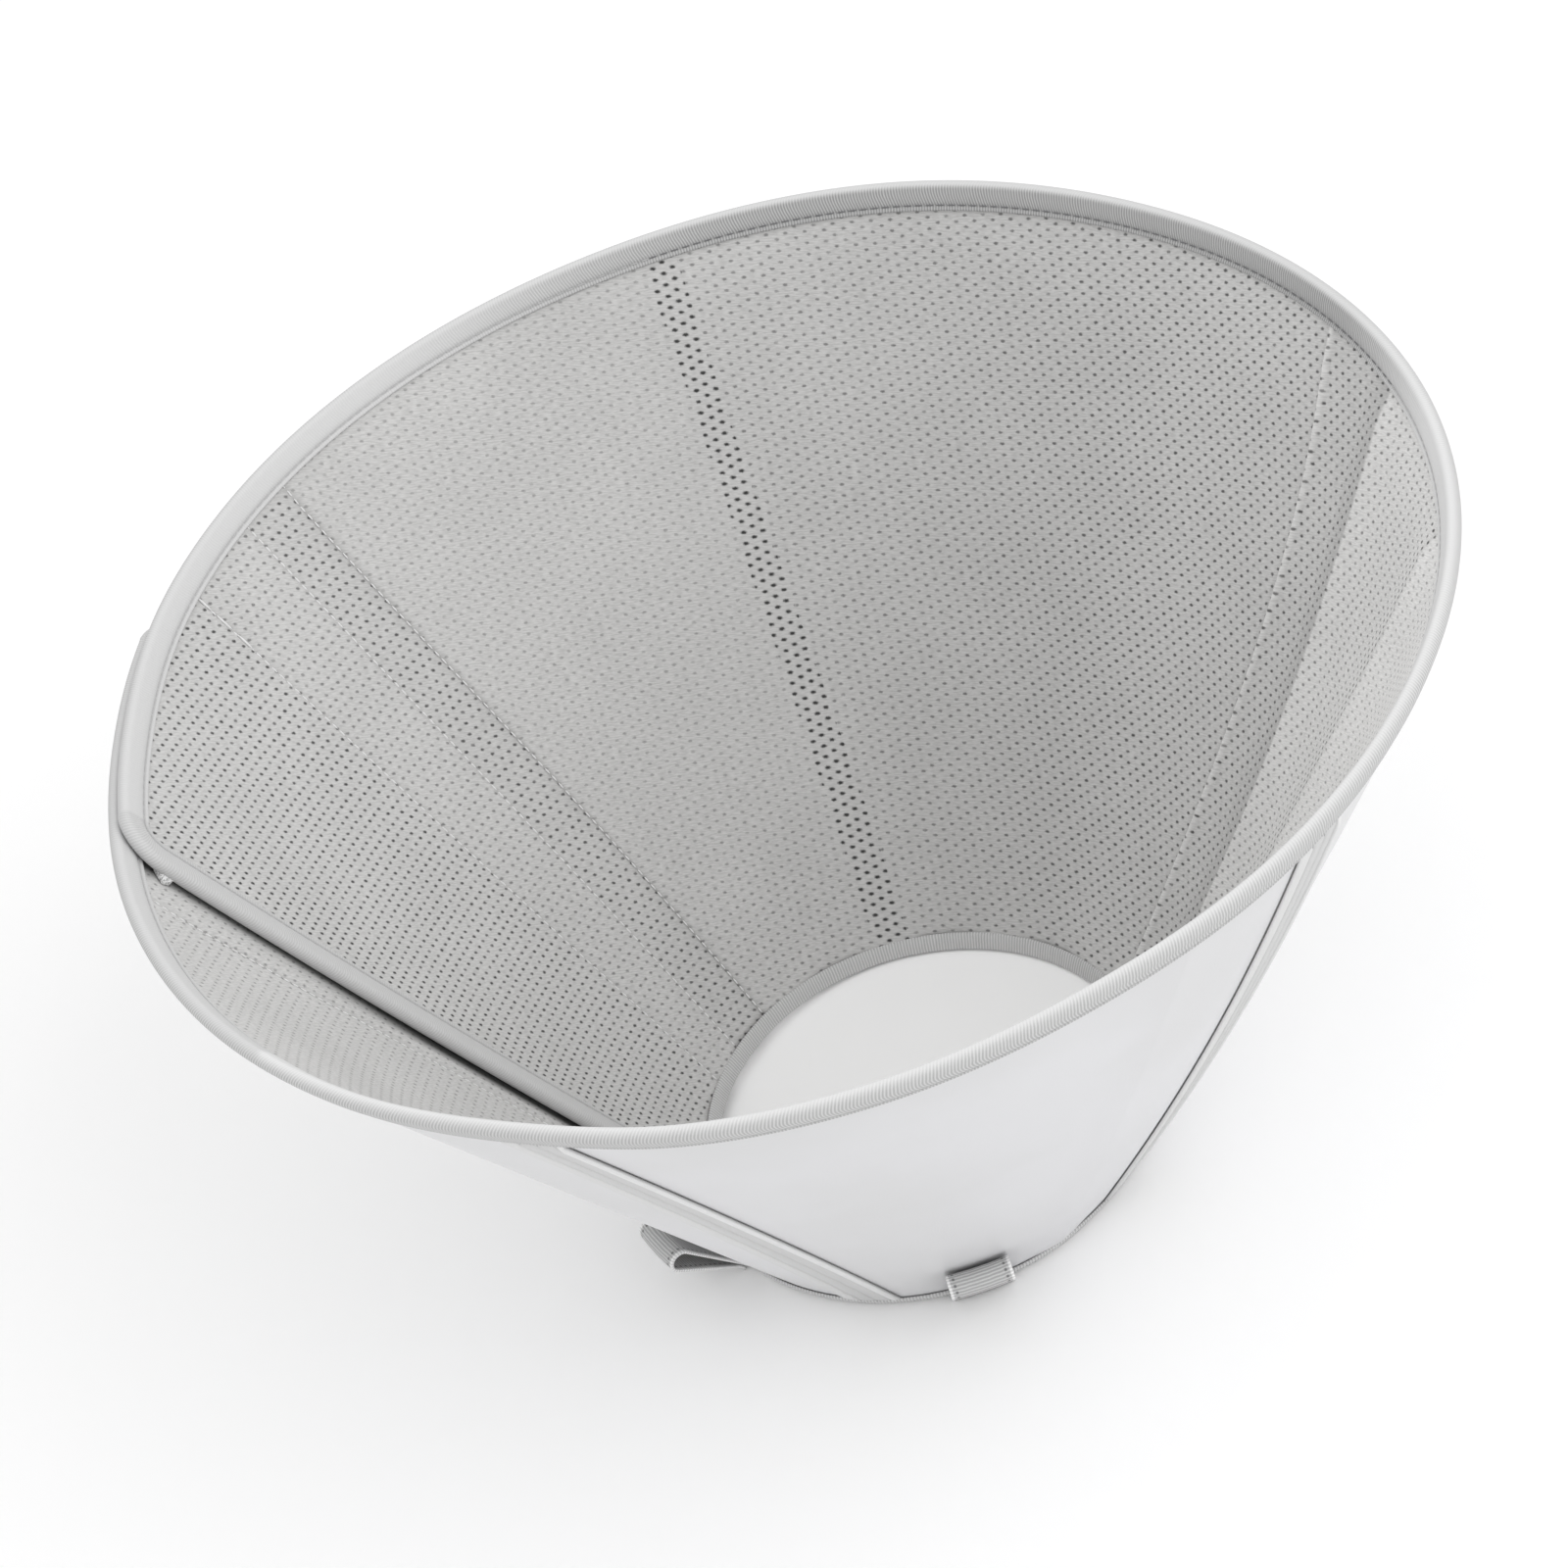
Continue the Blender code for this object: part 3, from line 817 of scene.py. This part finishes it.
def distances(points):
    total = [0.0]
    for a, b in zip(points, points[1:]):
        total.append(total[-1] + (b - a).length)
    return total


# %% The edge tape
def make_tube_tape(name, material, node, section, place_at, count):
    lengths = distances([place_at(i, *section[len(section) // 2][:2]) for i in range(count)])

    def uv(i, j):
        return lengths[i], section[j % len(section)][2]

    def place(i, j):
        return place_at(i, *section[j][:2])

    mesh = grid_mesh(name, count, len(section), place, uv, tube=True)
    face_outwards(mesh)
    print(name, "is", round(lengths[-1], 2), "m long")
    return add_piece(name, mesh, material, [node])


route = edge_route()
edge_tape = make_tube_tape(
    "edge_tape", binding_cloth, "edge_binding", tape_section(),
    lambda i, inward, out: edge_point(route[i], inward, out), len(route),
)

# %% Ribs, and painted light and shade, round the edge tape
def tape_looks(station, inward, across):
    """Rib strength and tone of one point of the tape; the tone is painted light and shade."""
    turn = station[0]
    inside = smooth_step((across + 0.002) / 0.004)
    # Painted shade in the stitch groove.
    groove_shade = fade_from(inward - 0.0066, 0.0010) if inward > 0.004 else 0.0
    low_part = smooth_step((abs(across) - 0.0022) / 0.0023)
    # Painted light and shade on the inside: darker at the back of the mouth on the tape's lower part,
    # lighter past turn 165. The ribs show most where it is darker.
    back = smooth_step((turn - 60.0) / 50.0) * (1.0 - smooth_step((turn - 165.0) / 25.0))
    ribs_inside = back * low_part + 0.12
    painted_light_inside = 1.08 - 0.26 * back * low_part + 0.16 * smooth_step((turn - 165.0) / 25.0)
    if turn > 330.0:
        painted_light_inside = 1.06
    ribs = ribs_inside * inside + 0.75 * (1.0 - inside)
    tone = painted_light_inside * inside + 0.98 * (1.0 - inside)
    # On the inner end, painted shade towards the roll's outer side, where it lies over the outer end.
    if len(station) > 1 and turn == 0.0:
        ribs = 0.30
        tone = 1.02 - 0.20 * (1.0 - smooth_step((across + 0.0035) / 0.006))
    return min(ribs, 1.0), tone * (1.0 - 0.25 * groove_shade)


section = tape_section()
looks = [tape_looks(station, inward, across) for station in route for inward, _, across in section]
set_attribute(edge_tape.data, "ribs", [ribs for ribs, _ in looks])
set_attribute(edge_tape.data, "tone", [tone for _, tone in looks])
print("stations round the edge tape:", len(route))

# %% [markdown]
# ## The neck tape
#
# A narrower tape over the neck's edge. It is what the cone stands on, so its fold is level: its
# points are placed by height, not by the slant.

# %% The neck tape
NECK_FOLD_STEPS = 10
neck_section = []
for i in range(NECK_FOLD_STEPS + 1):
    swing = math.pi * i / NECK_FOLD_STEPS
    out = (OUTER + INNER) / 2 + (OUTER - INNER) / 2 * math.cos(swing)
    neck_section.append((0.0011 * (1.0 - math.sin(swing)), out, 0.004 * (i / NECK_FOLD_STEPS - 0.5)))
neck_section += [
    (0.0025, INNER - 0.0001, 0.0035), (0.0044, INNER, 0.0055), (0.0050, INNER + 0.0004, 0.006),
    (0.0050, INNER + 0.0010, 0.006), (0.0010, INNER + 0.0010, 0.006),
    (0.0010, OUTER - 0.0010, -0.006), (0.0050, OUTER - 0.0010, -0.006),
    (0.0050, OUTER - 0.0004, -0.006), (0.0044, OUTER, -0.0055), (0.0025, OUTER + 0.0001, -0.0035),
]
neck_turns = [WRAP * i / 360 for i in range(361)]


def neck_point(i, rise, out):
    turn = skewed(neck_turns[i], rise)
    level = level_point(turn, rise, out)
    sloped = wall_point(turn, rise, out)
    return level.lerp(sloped, smooth_step((rise - 0.001) / 0.0015))


neck_tape = make_tube_tape(
    "neck_tape", neck_cloth, "neck_binding", neck_section, neck_point, len(neck_turns)
)

# %% [markdown]
# ## Tapes up the cover
#
# Where the real sheet can be folded flat, a tape is sewn over the fold on the outside. Each tape
# is a thin strip whose long edges follow two lines. Seen across, it has a piped upper edge, a flat
# body pulled in by two rows of stitches, and a thin lower edge. The piping carries a painted
# highlight, and the stitch grooves and thin edges carry painted shade.

# %% The three seam tapes
SEAM_TAPE_WIDTH = 0.020
SEAM_TAPES = {
    # name: CAD node, turn at the mouth, turn at the neck
    "front_tape": ("seam_tape_front", turn_of(237.1), turn_of(243.5)),
    "side_tape": ("seam_tape_side", turn_of(307.5), turn_of(311.0)),
    "rear_tape": ("seam_tape_rear", turn_of(135.4), turn_of(132.0)),
}

# share of the width from the upper edge, height of the tape's face over the cover
STRIP_PROFILE = [
    (0.000, 0.0004), (0.006, 0.0013), (0.025, 0.0019), (0.055, 0.0021), (0.085, 0.0019),
    (0.110, 0.0012), (0.125, 0.0007), (0.145, 0.0012), (0.200, 0.0014), (0.395, 0.0013),
    (0.412, 0.0009), (0.425, 0.0006), (0.438, 0.0009), (0.455, 0.0013), (0.550, 0.0014),
    (0.670, 0.0013), (0.687, 0.0009), (0.700, 0.0006), (0.713, 0.0009), (0.730, 0.0013),
    (0.800, 0.0014), (0.900, 0.0013), (0.970, 0.0012), (0.994, 0.0009), (1.000, 0.0004),
]
STITCH_ROWS = (0.425, 0.700)
TAPE_ROWS = 90


def tape_place(mouth_turn, neck_turn, row, across):
    """Turn and along of a point across metres from the tape's middle line."""
    share = row / (TAPE_ROWS - 1)
    centre = neck_turn + (mouth_turn - neck_turn) * share
    foot, head = NECK_TAPE_WIDTH - 0.0003, RIM_TAPE_WIDTH - 0.0004
    along = foot + (sheet_top(centre) - head - foot) * share
    turn = centre + math.degrees(across / radius_at(centre, along))
    return turn, foot + (sheet_top(turn) - head - foot) * share


def make_seam_tape(name):
    node, mouth_turn, neck_turn = SEAM_TAPES[name]

    def place(i, j):
        across, lift = STRIP_PROFILE[j]
        turn, along = tape_place(mouth_turn, neck_turn, i, (across - 0.5) * SEAM_TAPE_WIDTH)
        end = min(i, TAPE_ROWS - 1 - i)
        return wall_point(turn, along, min(lift, 0.0004 + 0.0010 * end))

    def uv(i, j):
        return i / (TAPE_ROWS - 1) * 0.26, STRIP_PROFILE[j][0] * SEAM_TAPE_WIDTH

    mesh = grid_mesh(name, TAPE_ROWS, len(STRIP_PROFILE), place, uv)
    piece = add_piece(name, mesh, tape_cloth, [node])
    painted_light_tones = []
    # Painted light on the tape: a painted highlight on the piped upper edge, a lighter band on the lower
    # part, and painted shade where the face lies low, in the stitch grooves and at the edges.
    for across, lift in STRIP_PROFILE:
        tone = 1.24 if 0.005 < across < 0.1 else 1.12 if across > 0.72 else 1.0
        painted_light_tones.append(tone * (0.70 if lift < 0.0008 else 1.0))
    set_attribute(mesh, "tone", painted_light_tones * TAPE_ROWS)
    set_attribute(mesh, "ribs", [0.5] * len(mesh.vertices))
    thick = piece.modifiers.new("cloth wall", "SOLIDIFY")
    thick.thickness = 0.0003
    thick.offset = -1.0
    return piece


seam_tapes = {name: make_seam_tape(name) for name in SEAM_TAPES}

# %% [markdown]
# ## Collar loops
#
# Four ribbons are folded double and sewn to the neck tape by their ends, for a collar to pass
# through. A loop is a ribbon along a teardrop: up from the stitches, round the nose and back. The
# ribbon's two long edges are a thicker woven selvedge; the grid gathers rows there, and the
# material draws them white.

# %% The collar loops
LOOP_LENGTH = 0.034
LOOP_NOSE = 0.0042
LOOP_FOOT = 0.0026
LOOP_TAIL = 0.0022
RIBBON = 0.001
LOOPS = {
    # name: CAD node, bearing, lean away from the wall
    "loop_left": ("collar_loop_1", 201.0, 14.5),
    "loop_front": ("collar_loop_2", 268.7, 5.0),
    "loop_back": ("collar_loop_3", 132.0, 14.5),
    "loop_right": ("collar_loop_4", 64.3, 5.0),
}
RIBBON_EDGE = [0.0, 0.012, 0.03, 0.055, 0.08, 0.10]
RIBBON_ACROSS = RIBBON_EDGE + [0.2, 0.3, 0.4, 0.5, 0.6, 0.7, 0.8] + [1 - e for e in reversed(RIBBON_EDGE)]


def loop_line(lean_angle):
    """Middle line of the ribbon: (up the wall, out from the neck tape), evenly spaced."""
    half = RIBBON / 2
    under, over = 0.0003 + half, 0.0016 + half
    lean = math.radians(lean_angle)
    radius = LOOP_NOSE - half
    reach = LOOP_LENGTH - LOOP_NOSE
    nose = Vector((LOOP_FOOT + reach * math.cos(lean), (under + over) / 2 + reach * math.sin(lean)))
    corners = [Vector((LOOP_FOOT, under)), Vector((LOOP_FOOT + LOOP_TAIL, under))]
    for i in range(25):
        swing = lean - math.pi / 2 + math.pi * i / 24
        corners.append(nose + radius * Vector((math.cos(swing), math.sin(swing))))
    corners += [Vector((LOOP_FOOT + LOOP_TAIL, over)), Vector((LOOP_FOOT, over))]
    line = []
    for a, b in zip(corners, corners[1:]):
        pieces = max(1, round((b - a).length / 0.0012))
        line += [a.lerp(b, k / pieces) for k in range(pieces)]
    return line + [corners[-1]]


def make_loop(name):
    node, bearing, lean = LOOPS[name]
    line = loop_line(lean)
    turn = turn_of(bearing)
    rows = len(RIBBON_ACROSS)
    run = distances(line)

    def place(i, j):
        up_wall, out = line[i]
        spot = wall_point(turn, up_wall, TAPE_STACK + out)
        side = LOOP_WIDTH * (RIBBON_ACROSS[j] - 0.5)
        aside = turn + math.degrees(side / math.hypot(spot.x, spot.y))
        return wall_point(aside, up_wall, TAPE_STACK + out)

    def uv(i, j):
        return run[i], RIBBON_ACROSS[j] * LOOP_WIDTH

    mesh = grid_mesh(name, len(line), rows, place, uv)
    return add_piece(name, mesh, ribbon_cloth, [node], 0.00095)


loops = {name: make_loop(name) for name in LOOPS}

# %% [markdown]
# ## The closure
#
# Hook tape on one end and loop tape on the other, pressed together inside the lap. Only a sliver
# of its top edge shows past the rounded corner of the inner end.

# %% The closure
CLOSURE_WIDTH = 0.025
CLOSURE_WALL = 0.0023
CLOSURE_COLUMNS = 9
CLOSURE_ROWS = 90
EAR_REACH = 0.0125       # its top corner reaches past the inner end


def closure_spot(i, j):
    share = j / (CLOSURE_ROWS - 1)
    edge_along = share * wall_frame(0.0)[3]
    inset = RIM_TAPE_WIDTH + 0.0003 + CLOSURE_WIDTH / 2
    centre = skewed(math.degrees(inset / radius_at(0.0, edge_along)), edge_along)
    foot, head = 0.020, 0.014
    along = foot + (sheet_top(centre) - head - foot) * share
    side = CLOSURE_WIDTH * (i / (CLOSURE_COLUMNS - 1) - 0.5)
    ear = EAR_REACH * math.exp(-(((share - 0.985) / 0.022) ** 2))
    side -= ear * (1.0 - i / (CLOSURE_COLUMNS - 1))
    turn = centre + math.degrees(side / radius_at(centre, along))
    return turn, foot + (sheet_top(turn) - head - foot) * share


closure_mesh = grid_mesh(
    "closure", CLOSURE_COLUMNS, CLOSURE_ROWS,
    lambda i, j: wall_point(*closure_spot(i, j), 0.0003 + CLOSURE_WALL / 2),
    lambda i, j: (i * 0.003, j * 0.004),
)
closure = add_piece("closure", closure_mesh, closure_cloth, ["closure_strip"], CLOSURE_WALL)

# %% [markdown]
# ## Stitches by Geometry Nodes
#
# A stitch is one small lump of thread, repeated along a seam. This is what Geometry Nodes do best:
# a path goes in, points are set along it at the stitch pitch, a lump is put on each point and
# turned along the path. The tree is built once and used for every seam, with its own pitch,
# length and thread. It ends in Realize Instances and Set Material, so that the export sees them.

# %% The stitch tree
def build_stitch_tree():
    tree = bpy.data.node_groups.new("stitches along a seam", "GeometryNodeTree")
    inputs = {}
    for name, kind in (
        ("Seam", "NodeSocketGeometry"), ("Pitch", "NodeSocketFloat"), ("Stitch Length", "NodeSocketFloat"),
        ("Thread Width", "NodeSocketFloat"), ("Thread", "NodeSocketMaterial"),
    ):
        inputs[name] = tree.interface.new_socket(name, in_out="INPUT", socket_type=kind).identifier
    tree.interface.new_socket("Stitches", in_out="OUTPUT", socket_type="NodeSocketGeometry")
    add, link = tree.nodes.new, tree.links.new
    start, end = add("NodeGroupInput"), add("NodeGroupOutput")
    curve = add("GeometryNodeMeshToCurve")
    link(start.outputs["Seam"], curve.inputs["Mesh"])
    spaced = add("GeometryNodeResampleCurve")
    spaced.mode = "LENGTH"
    link(curve.outputs["Curve"], spaced.inputs["Curve"])
    link(start.outputs["Pitch"], spaced.inputs["Length"])
    lump = add("GeometryNodeMeshUVSphere")
    lump.inputs["Segments"].default_value = 6
    lump.inputs["Rings"].default_value = 5
    lump.inputs["Radius"].default_value = 0.5
    sizes = add("ShaderNodeCombineXYZ")
    for axis in "XY":
        link(start.outputs["Thread Width"], sizes.inputs[axis])
    link(start.outputs["Stitch Length"], sizes.inputs["Z"])
    along = add("FunctionNodeAlignEulerToVector")
    along.axis = "Z"
    tangent = add("GeometryNodeInputTangent")
    link(tangent.outputs["Tangent"], along.inputs["Vector"])
    each = add("GeometryNodeInstanceOnPoints")
    link(spaced.outputs["Curve"], each.inputs["Points"])
    link(lump.outputs["Mesh"], each.inputs["Instance"])
    link(along.outputs["Rotation"], each.inputs["Rotation"])
    link(sizes.outputs["Vector"], each.inputs["Scale"])
    real = add("GeometryNodeRealizeInstances")
    link(each.outputs["Instances"], real.inputs["Geometry"])
    smooth = add("GeometryNodeSetShadeSmooth")
    link(real.outputs["Geometry"], smooth.inputs["Geometry"])
    finish = add("GeometryNodeSetMaterial")
    link(smooth.outputs["Geometry"], finish.inputs["Geometry"])
    link(start.outputs["Thread"], finish.inputs["Material"])
    link(finish.outputs["Geometry"], end.inputs["Stitches"])
    return tree, inputs


stitch_tree, stitch_inputs = build_stitch_tree()


# %% Sew a seam
def sew(name, seams, pitch, length, width, thread):
    """Stitches along each seam, a list of points, as one plain mesh."""
    points, edges = [], []
    for seam in seams:
        edges += [(len(points) + k, len(points) + k + 1) for k in range(len(seam) - 1)]
        points += seam
    path_mesh = bpy.data.meshes.new(name + " path")
    path_mesh.from_pydata(points, edges, [])
    path = bpy.data.objects.new(name + " path", path_mesh)
    bpy.context.scene.collection.objects.link(path)
    nodes = path.modifiers.new("stitches", "NODES")
    nodes.node_group = stitch_tree
    for label, value in (
        ("Pitch", pitch), ("Stitch Length", length), ("Thread Width", width), ("Thread", thread),
    ):
        nodes[stitch_inputs[label]] = value
    bpy.context.view_layer.update()
    evaluated = path.evaluated_get(bpy.context.evaluated_depsgraph_get())
    mesh = bpy.data.meshes.new_from_object(evaluated)
    mesh.name = name
    bpy.data.objects.remove(path)
    return add_piece(name, mesh, thread)


def tape_seam(first, last, out):
    """Points of the tape's seam between two shares of its route."""
    stations = route[round(first * len(route)):round(last * len(route))]
    return [edge_point(station, STITCH_INSET, out) for station in stations]


SHADED = (0.31, 0.47)      # the back of the mouth, where the stitches sit in shadow
# The grey thread on the back of the mouth is painted shade: the edge tape's stitches are one pale thread.
sew(
    "edge_stitches_back", [tape_seam(*SHADED, INNER + 0.0003)],
    0.0040, 0.0030, 0.00050, grey_and_shaded_thread,
)
sew(
    "edge_stitches",
    [
        tape_seam(0.0, SHADED[0], INNER + 0.0003), tape_seam(SHADED[1], 1.0, INNER + 0.0003),
        tape_seam(0.0, 1.0, OUTER - 0.0003),
    ],
    0.0040, 0.0030, 0.00042, pale_thread,
)


# %% Seams on the lining and the tapes
def lining_seam(name, low, high, lift):
    line = LINING_LINES[name]
    points = []
    for i in range(81):
        share = low + (high - low) * i / 80
        turn = line_turn(line, share)
        along = share * wall_frame(turn)[3]
        points.append(wall_point(turn, along, lining_relief(turn, along) - PLY_STACK - lift))
    return points


sew(
    "lining_stitches",
    [lining_seam(name, 0.025, 0.965, 0.0001) for name in SEAMS],
    0.0036, 0.0028, 0.00062, white_thread,
)


sew(
    "loose_thread", [lining_seam("inner seam", 0.885, 0.955, 0.0004)],
    0.0070, 0.0076, 0.00085, white_thread,
)


def strip_seam(name, share, lift):
    _, mouth_turn, neck_turn = SEAM_TAPES[name]
    spots = [tape_place(mouth_turn, neck_turn, i, (share - 0.5) * SEAM_TAPE_WIDTH) for i in range(TAPE_ROWS)]
    return [wall_point(turn, along, lift) for turn, along in spots]


sew(
    "tape_stitches", [strip_seam(name, share, 0.0008) for name in SEAM_TAPES for share in STITCH_ROWS],
    0.0036, 0.0026, 0.0004, grey_and_shaded_thread,
)

# %% [markdown]
# ## Cloth facts
#
# The cover and the lining are one cut each: half a ring. The loop below only gathers the tapes
# that lie on each sheet into a list.

for sheet, others in ((cover, [edge_tape, neck_tape, *seam_tapes.values()]), (lining, [])):
    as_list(others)

# %% [markdown]
# ## Floor, light and camera
#
# The photo is a studio shot on white with soft light from above and in front, and its shadows are
# faint. A white world gives the even light, one large lamp at the right models the folds, and a
# weak one at the left opens the shadows.

# %% Floor
floor_mesh = bpy.data.meshes.new("floor")
FLOOR_LEVEL = -0.0004     # just under the neck tape, so that the two faces do not fight
corners = [(x, y, FLOOR_LEVEL) for x, y in ((-6, -6), (6, -6), (6, 6), (-6, 6))]
floor_mesh.from_pydata(corners, [], [(0, 1, 2, 3)])
floor = bpy.data.objects.new("floor", floor_mesh)
bpy.context.scene.collection.objects.link(floor)
floor_paint = Nodes("floor paint", (0.98, 0.98, 0.98), 0.9, 0.1).material
floor_mesh.materials.append(floor_paint)

# %% Light
bpy.context.scene.view_settings.view_transform = "Standard"
world = bpy.data.worlds.new("studio")
bpy.context.scene.world = world
world.use_nodes = True
world.node_tree.nodes["Background"].inputs["Color"].default_value = (1.0, 1.0, 1.0, 1.0)
world.node_tree.nodes["Background"].inputs["Strength"].default_value = 0.96


def add_lamp(name, place, target, size, power):
    lamp = bpy.data.lights.new(name, "AREA")
    lamp.shape = "SQUARE"
    lamp.size = size
    lamp.energy = power
    holder = bpy.data.objects.new(name, lamp)
    bpy.context.scene.collection.objects.link(holder)
    holder.location = place
    holder.rotation_euler = (Vector(target) - Vector(place)).to_track_quat("-Z", "Y").to_euler()


add_lamp("key", (1.7, -1.2, 1.9), (0, 0, 0.1), 2.6, 22.0)
add_lamp("fill", (-1.4, -1.6, 2.2), (0, 0, 0.1), 1.5, 3.0)

# %% Camera
camera_data = bpy.data.cameras.new("camera")
camera_data.lens = 100.0
camera_data.sensor_width = 36.0
camera = bpy.data.objects.new("camera", camera_data)
bpy.context.scene.collection.objects.link(camera)
camera_right = Vector((0.94315003, -0.22135178, -0.24793429))
camera_up = Vector((0.3323673, 0.62812418, 0.70355667))
camera_back = camera_right.cross(camera_up)
turned = Matrix((camera_right, camera_up, camera_back)).transposed().to_4x4()
camera.matrix_world = Matrix.Translation((-0.01272739, -1.05053906, 1.10602669)) @ turned
bpy.context.scene.camera = camera
